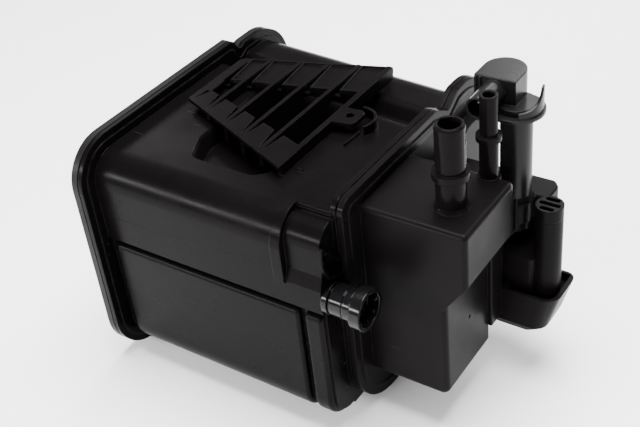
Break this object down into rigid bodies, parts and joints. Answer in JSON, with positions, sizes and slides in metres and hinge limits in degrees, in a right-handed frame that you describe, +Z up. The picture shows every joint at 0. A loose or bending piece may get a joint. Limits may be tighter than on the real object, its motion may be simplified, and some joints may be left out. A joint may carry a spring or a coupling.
{
  "type": "charcoal canister",
  "caption": "Black plastic charcoal canister for fuel vapour, with vertical hose ports, a side fitting, a vent valve, a vent tube and a wedge-shaped mounting bracket on top.",
  "frame": {"origin": "centre of the footprint, on the level the two weld rims rest on", "axes": "+Z up, along the two vertical ports; +X along the housing from the end cover to the ports; +Y from the side-fitting side to the far side"},
  "size_m": [0.254, 0.2064, 0.1939],
  "materials": {
    "shell_black": "satin moulded plastic, faint flow and scuff marks",
    "cover_black": "satin moulded plastic",
    "end_black": "satin moulded plastic, slightly rough",
    "fitting_gloss": "glossy moulded plastic",
    "valve_black": "satin moulded plastic",
    "cap_black": "semi-gloss moulded plastic",
    "seal_rubber": "soft rubber",
    "charcoal": "black granules",
    "foam": "grey felt pad",
    "plate_plastic": "natural moulded plastic",
    "spring_steel": "bright spring wire",
    "soft_iron": "plated soft iron",
    "copper_winding": "enamelled copper winding",
    "bobbin_plastic": "natural moulded plastic",
    "terminal_brass": "tinned brass"
  },
  "bodies": {
    "canister": {"body_housing": "shell_black", "end_cover": "end_black", "port_cover": "cover_black", "side_fitting": "fitting_gloss", "side_fitting_seal": "seal_rubber", "front_pad_main": "foam", "rear_pad_main": "foam", "front_pad_rear": "foam", "rear_pad_rear": "foam", "charcoal_main": "charcoal", "charcoal_rear": "charcoal", "retainer_plate_main": "plate_plastic", "retainer_plate_rear": "plate_plastic", "retainer_spring_main": "spring_steel", "retainer_spring_rear": "spring_steel", "valve_body": "valve_black", "valve_head": "valve_black", "valve_terminals": "terminal_brass", "valve_yoke": "soft_iron", "valve_bobbin": "bobbin_plastic", "valve_coil": "copper_winding", "valve_core": "soft_iron", "valve_spring": "spring_steel", "vent_cap": "cap_black", "vent_filter": "foam"},
    "plunger": {"valve_plunger": "soft_iron", "valve_seal": "seal_rubber"}
  },
  "joints": [
    {"name": "valve_plunger_slide", "type": "slide", "parent": "canister", "child": "plunger", "axis": [0, 0, 1], "range_m": [0, 0.0025], "stiffness_N_per_m": 400, "springref_m": -0.004, "deforming": ["valve_spring"]}
  ]
}
